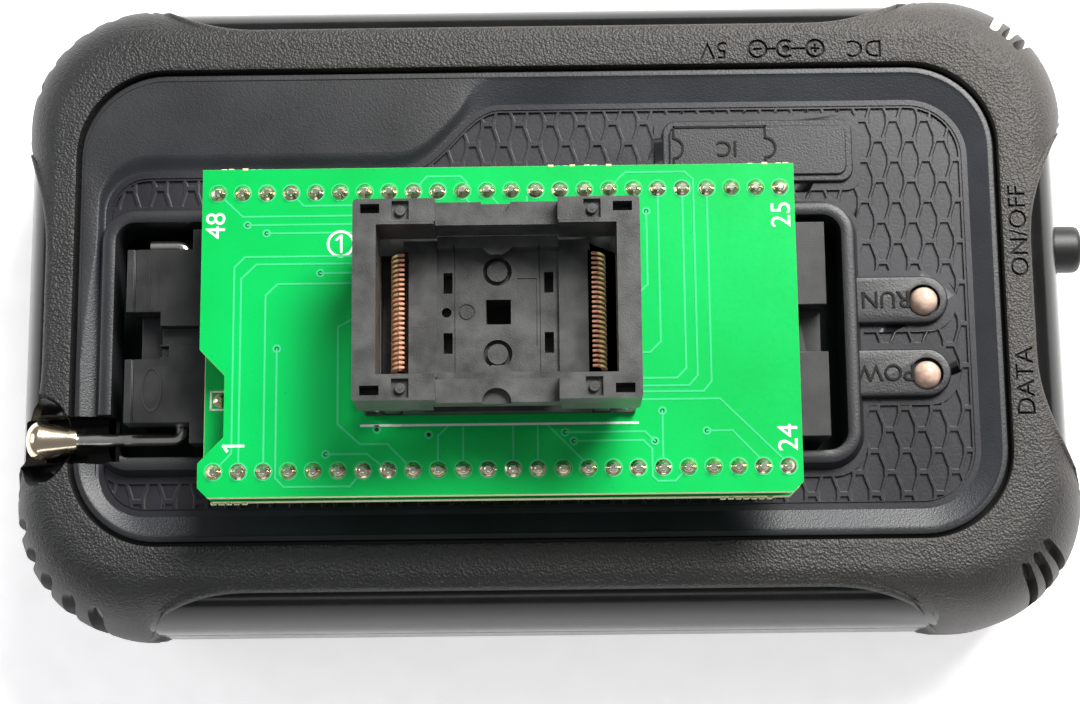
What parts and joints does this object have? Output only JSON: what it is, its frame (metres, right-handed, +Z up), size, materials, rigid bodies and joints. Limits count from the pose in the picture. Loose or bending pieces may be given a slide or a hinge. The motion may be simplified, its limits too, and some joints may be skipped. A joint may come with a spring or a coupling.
{
  "type": "usb device programmer",
  "caption": "Hand-sized chip programmer: rounded case in a rubber bumper, lever-locked zero-force socket in its deck, and a stacked green adapter board with a press-down chip socket.",
  "frame": {"origin": "on the surface it stands on, under the middle of the case", "axes": "+Z up, +X towards the end with the USB port and power button, +Y towards the long side with the power inlet"},
  "size_m": [0.1204, 0.0726, 0.0472],
  "materials": {
    "shell_plastic": "satin black moulded plastic",
    "bumper_rubber": "matte, spark-textured",
    "steel": "bright plated",
    "nickel": "polished warm nickel",
    "inner_board": "dark green circuit board",
    "green_board": "bright green circuit board with solder mask",
    "black_plastic": "black moulded plastic",
    "blue_plastic": "blue moulded plastic",
    "socket_plastic": "matte black, glass-filled",
    "chip_socket_plastic": "dark grey, satin",
    "chip_resin": "matte black",
    "led_resin": "clear resin",
    "can_aluminium": "satin",
    "copper": "bright beryllium copper"
  },
  "bodies": {
    "case": {"lower_shell": "shell_plastic", "upper_shell": "shell_plastic", "rubber_bumper": "bumper_rubber", "foot_1": "bumper_rubber", "foot_2": "bumper_rubber", "foot_3": "bumper_rubber", "foot_4": "bumper_rubber", "case_screw_1": "steel", "case_screw_2": "steel", "case_screw_3": "steel", "case_screw_4": "steel", "main_board": "inner_board", "socket_board": "inner_board", "board_spacer_1": "nickel", "board_spacer_2": "nickel", "board_spacer_3": "nickel", "board_spacer_4": "nickel", "link_socket_1": "black_plastic", "link_socket_2": "black_plastic", "link_header_1": "black_plastic", "link_header_2": "black_plastic", "usb_port_shell": "steel", "usb_port_insert": "blue_plastic", "power_inlet": "black_plastic", "power_inlet_pin": "nickel", "power_switch_body": "black_plastic", "run_led": "led_resin", "power_led": "led_resin", "capacitor_1": "can_aluminium", "capacitor_2": "can_aluminium", "controller_chip": "chip_resin", "logic_chip": "chip_resin", "regulator_chip": "chip_resin", "power_inductor": "black_plastic", "crystal": "steel", "socket_base": "socket_plastic", "socket_contacts_1": "copper", "socket_contacts_2": "copper"},
    "power_button": {"power_button": "black_plastic"},
    "lever": {"lever_wire": "steel", "lever_knob": "nickel"},
    "slider": {"socket_slider": "socket_plastic"},
    "adapter": {"adapter_lower_board": "green_board", "adapter_upper_board": "green_board", "plug_header_1": "black_plastic", "plug_header_2": "black_plastic", "stacking_header_1": "black_plastic", "stacking_header_2": "black_plastic", "chip_socket_base": "chip_socket_plastic", "cover_spring_1": "steel", "cover_spring_2": "steel", "cover_spring_3": "steel", "cover_spring_4": "steel"},
    "cover": {"chip_socket_cover": "chip_socket_plastic"},
    "contacts_left": {"chip_contacts_left": "copper"},
    "contacts_right": {"chip_contacts_right": "copper"}
  },
  "joints": [
    {"name": "power_press", "type": "slide", "parent": "case", "child": "power_button", "axis": [-1, 0, 0], "range_m": [0, 0.0015], "stiffness_N_per_m": 400, "springref_m": -0.0001},
    {"name": "slider_shift", "type": "slide", "parent": "case", "child": "slider", "axis": [1, 0, 0], "range_m": [0, 0.001]},
    {"name": "lever_turn", "type": "hinge", "parent": "case", "child": "lever", "pos_m": [-0.0383, -0.0146, 0.0242], "axis": [0, 1, 0], "range_deg": [0, 90]},
    {"name": "adapter_lift", "type": "slide", "parent": "case", "child": "adapter", "axis": [0, 0, 1], "range_m": [0, 0.012]},
    {"name": "cover_press", "type": "slide", "parent": "adapter", "child": "cover", "axis": [0, 0, -1], "range_m": [0, 0.0018], "stiffness_N_per_m": 1500, "springref_m": -0.0001, "deforming": ["cover_spring_1", "cover_spring_2", "cover_spring_3", "cover_spring_4"]},
    {"name": "contacts_left_open", "type": "hinge", "parent": "adapter", "child": "contacts_left", "pos_m": [-0.0144, -0.0045, 0.0372], "axis": [0, -1, 0], "range_deg": [0, 8]},
    {"name": "contacts_right_open", "type": "hinge", "parent": "adapter", "child": "contacts_right", "pos_m": [0.0066, -0.0045, 0.0372], "axis": [0, 1, 0], "range_deg": [0, 8]}
  ],
  "couplings": [
    {"joint": "lever_turn", "follows": "slider_shift", "rad_per_m": 1570.7},
    {"joint": "contacts_left_open", "follows": "cover_press", "rad_per_m": 76},
    {"joint": "contacts_right_open", "follows": "cover_press", "rad_per_m": 76}
  ]
}
